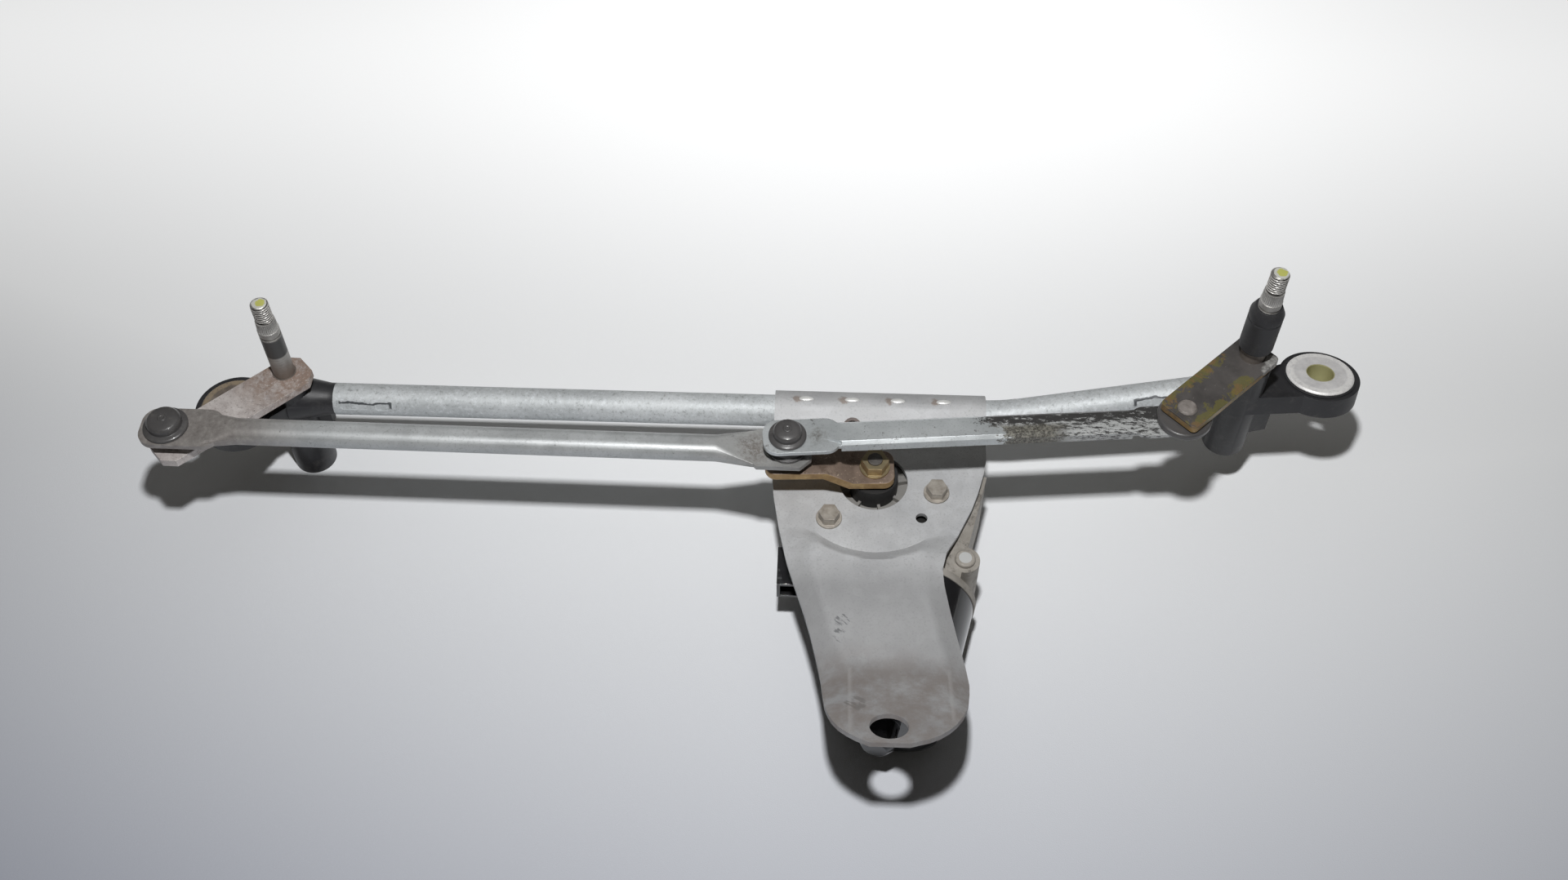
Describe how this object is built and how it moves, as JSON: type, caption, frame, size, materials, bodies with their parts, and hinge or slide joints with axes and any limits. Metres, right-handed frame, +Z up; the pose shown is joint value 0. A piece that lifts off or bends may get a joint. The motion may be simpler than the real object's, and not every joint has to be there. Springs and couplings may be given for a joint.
{
  "type": "windscreen wiper linkage with motor",
  "caption": "Tube-framed wiper linkage: a geared motor's crank drives two spindle levers through ball-jointed links, with mounting eyes and a tongue.",
  "frame": {"origin": "left spindle axis, on the top face of the left lever", "axes": "+Z up along the left spindle, +X along the tube towards the right spindle, +Y away from the motor"},
  "size_m": [0.6624, 0.2616, 0.175],
  "materials": {
    "galvanised": "spangled zinc, dull",
    "black_casting": "satin black",
    "bronze": "sintered, matt",
    "washer_steel": "dark",
    "rubber": "matt",
    "rusty_sleeve": "brownish, corroded",
    "chromate_sleeve": "yellow passivated, corroded",
    "cast_aluminium": "as cast",
    "cover_black": "satin",
    "zinc_fastener": "dull zinc",
    "grey_plastic": "pale grey",
    "black_can": "glossy black",
    "ferrite": "matt",
    "card": "brown laminate",
    "black_plastic": "fine matt",
    "bright_steel": "ground",
    "gear_plastic": "natural",
    "yellow_zinc": "brown-gold passivated",
    "laminations": "stacked sheets",
    "copper": "enamelled",
    "spindle_steel": "turned, lightly stained",
    "rusty_lever": "rust-stained",
    "stained_lever": "dark, rust at the edges",
    "link_zinc": "zinc, dirty at the ends"
  },
  "bodies": {
    "frame": {"frame_tube": "galvanised", "motor_bracket": "galvanised", "left_bearing_housing": "black_casting", "right_bearing_housing": "black_casting", "left_bushes": "bronze", "right_bushes": "bronze", "left_thrust_washer": "washer_steel", "right_thrust_washer": "washer_steel", "left_grommet": "rubber", "right_grommet": "rubber", "left_sleeve": "rusty_sleeve", "right_sleeve": "chromate_sleeve", "gear_housing": "cast_aluminium", "gear_cover": "cover_black", "cover_screws": "zinc_fastener", "output_bush": "bronze", "vent_plug": "grey_plastic", "motor_bolts": "zinc_fastener", "motor_can": "black_can", "can_screws": "zinc_fastener", "magnets": "ferrite", "armature_bushes": "bronze", "brush_card": "card", "brushes": "ferrite", "connector": "black_plastic"},
    "crank": {"output_shaft": "bright_steel", "worm_wheel": "gear_plastic", "crank_arm": "yellow_zinc", "crank_nut": "yellow_zinc"},
    "armature": {"armature_shaft": "bright_steel", "armature_core": "laminations", "windings": "copper", "commutator": "copper"},
    "left_lever": {"left_spindle": "spindle_steel", "left_lever": "rusty_lever", "left_ball_stud": "bright_steel", "left_retaining_ring": "washer_steel"},
    "left_link": {"left_link": "link_zinc", "left_outer_socket": "black_plastic", "left_crank_socket": "black_plastic", "lower_crank_ball": "bright_steel"},
    "right_lever": {"right_spindle": "spindle_steel", "right_rubber_sleeve": "rubber", "right_lever": "stained_lever", "right_ball_stud": "bright_steel", "right_retaining_ring": "washer_steel"},
    "right_link": {"right_link": "link_zinc", "right_outer_socket": "black_plastic", "right_crank_socket": "black_plastic", "upper_crank_ball": "bright_steel"}
  },
  "joints": [
    {"name": "crank_turn", "type": "hinge", "parent": "frame", "child": "crank", "pos_m": [0.329, -0.049, -0.0075], "axis": [0, 0, 1], "range_deg": [0, 180]},
    {"name": "left_lever_turn", "type": "hinge", "parent": "frame", "child": "left_lever", "pos_m": [0, 0, 0], "axis": [0, 0, 1], "range_deg": [0, 84.64]},
    {"name": "left_link_turn", "type": "hinge", "parent": "left_lever", "child": "left_link", "pos_m": [-0.05078, -0.04818, 0.0075], "axis": [0, 0, 1], "range_deg": [-82.75, 0]},
    {"name": "right_lever_turn", "type": "hinge", "parent": "frame", "child": "right_lever", "pos_m": [0.53, 0.005, 0.0305], "axis": [0, 0, 1], "range_deg": [0, 121.66]},
    {"name": "right_link_turn", "type": "hinge", "parent": "right_lever", "child": "right_link", "pos_m": [0.49116, -0.03251, 0.02], "axis": [0, 0, 1], "range_deg": [-116.14, 0]},
    {"name": "armature_spin", "type": "hinge", "parent": "frame", "child": "armature", "pos_m": [0.36529, -0.05805, -0.0485], "axis": [-0.2419, -0.9703, 0], "range_deg": [-9000, 0]}
  ],
  "couplings": [
    {"joint": "left_lever_turn", "follows": "crank_turn", "ratio": 0.47016},
    {"joint": "left_link_turn", "follows": "crank_turn", "ratio": -0.45966},
    {"joint": "right_lever_turn", "follows": "crank_turn", "ratio": 0.67581},
    {"joint": "right_link_turn", "follows": "crank_turn", "ratio": -0.64515},
    {"joint": "armature_spin", "follows": "crank_turn", "ratio": -50}
  ]
}
